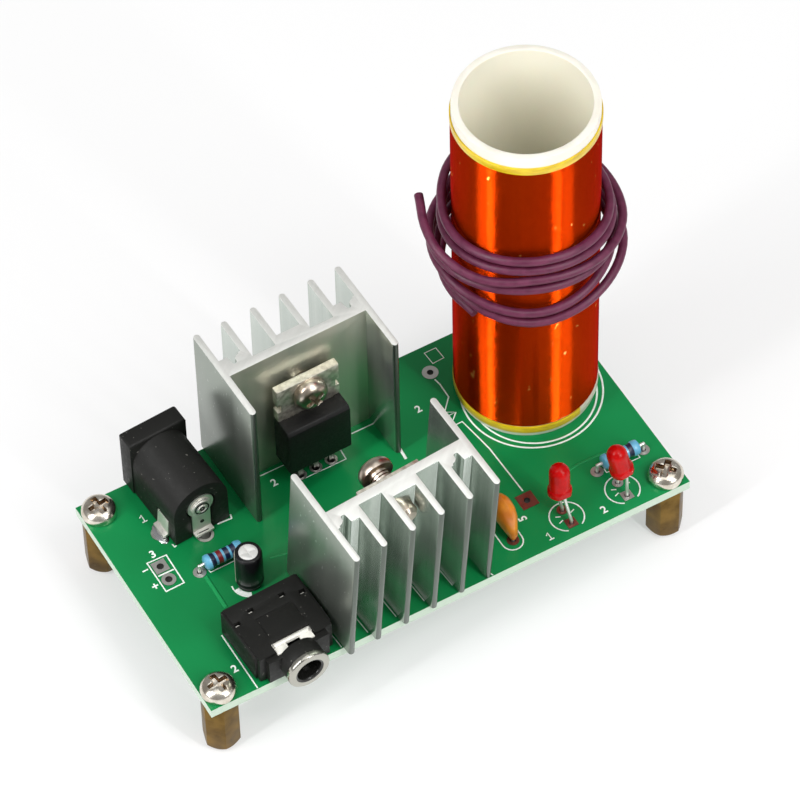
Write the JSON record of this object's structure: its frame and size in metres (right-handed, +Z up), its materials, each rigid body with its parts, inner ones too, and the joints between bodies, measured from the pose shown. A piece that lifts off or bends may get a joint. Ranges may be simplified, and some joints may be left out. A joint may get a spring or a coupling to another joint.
{
  "type": "desktop_resonant_transformer",
  "caption": "Desktop resonant transformer: driver board on pillars with finned heat sinks and jacks, tall wound secondary tube and loose primary coil",
  "frame": {"origin": "On the standing plane, at the centre of the four pillars' feet", "axes": "+X along the board's long side from the jacks to the coil, +Y across the board towards the power jack's mouth, +Z up"},
  "size_m": [0.0807, 0.0458, 0.0729],
  "materials": {
    "board_green": "gloss",
    "tinned_metal": "satin",
    "solder": "gloss",
    "pillar_brass": "satin",
    "screw_nickel": "gloss",
    "sink_aluminium": "satin",
    "black_moulding": "satin",
    "spring_brass": "satin",
    "tube_white": "satin",
    "enamelled_copper": "gloss",
    "yellow_tape": "gloss",
    "violet_insulation": "satin",
    "resistor_blue": "gloss",
    "can_aluminium": "satin",
    "sleeve_black": "gloss",
    "bung_rubber": "matte",
    "resin_orange": "gloss",
    "lens_red": "gloss"
  },
  "bodies": {
    "root": {"circuit_board": "board_green", "plated_holes": "tinned_metal", "solder_joints": "solder", "pillars": "pillar_brass", "corner_screws": "screw_nickel", "rear_heat_sink": "sink_aluminium", "rear_transistor_body": "black_moulding", "rear_transistor_tab": "tinned_metal", "rear_transistor_leads": "tinned_metal", "rear_sink_screw": "screw_nickel", "front_heat_sink": "sink_aluminium", "front_transistor_body": "black_moulding", "front_transistor_tab": "tinned_metal", "front_transistor_leads": "tinned_metal", "front_sink_screw": "screw_nickel", "power_jack_housing": "black_moulding", "power_jack_centre_pin": "tinned_metal", "power_jack_rear_terminal": "tinned_metal", "power_jack_side_terminal": "tinned_metal", "power_jack_spring_foot": "tinned_metal", "audio_jack_housing": "black_moulding", "audio_jack_bushing": "screw_nickel", "audio_jack_terminals": "tinned_metal", "audio_jack_sleeve_contact": "tinned_metal", "coil_tube": "tube_white", "secondary_winding": "enamelled_copper", "lower_tape": "yellow_tape", "upper_tape": "yellow_tape", "resistor_1_body": "resistor_blue", "resistor_1_leads": "tinned_metal", "resistor_2_body": "resistor_blue", "resistor_2_leads": "tinned_metal", "upright_capacitor_can": "can_aluminium", "upright_capacitor_sleeve": "sleeve_black", "upright_capacitor_bung": "bung_rubber", "upright_capacitor_leads": "tinned_metal", "dipped_capacitor_body": "resin_orange", "dipped_capacitor_leads": "tinned_metal", "led_1_lens": "lens_red", "led_1_leads": "tinned_metal", "led_2_lens": "lens_red", "led_2_leads": "tinned_metal"},
    "primary_coil": {"primary_wire": "violet_insulation"},
    "power_leaf": {"power_jack_spring": "spring_brass"},
    "audio_leaf": {"audio_jack_tip_spring": "spring_brass"}
  },
  "joints": [
    {"name": "primary_slide", "type": "slide", "parent": "root", "child": "primary_coil", "axis": [0, 0, 1], "range_m": [-0.02, 0.017]},
    {"name": "power_leaf_flex", "type": "hinge", "parent": "root", "child": "power_leaf", "pos_m": [-0.02538, 0.01339, 0.01383], "axis": [0.9981, 0.061, 0], "range_deg": [-8, 0], "stiffness_Nm_per_rad": 0.02},
    {"name": "audio_leaf_flex", "type": "hinge", "parent": "root", "child": "audio_leaf", "pos_m": [-0.0222, -0.01136, 0.0144], "axis": [0, 0, 1], "range_deg": [0, 9], "stiffness_Nm_per_rad": 0.01}
  ]
}
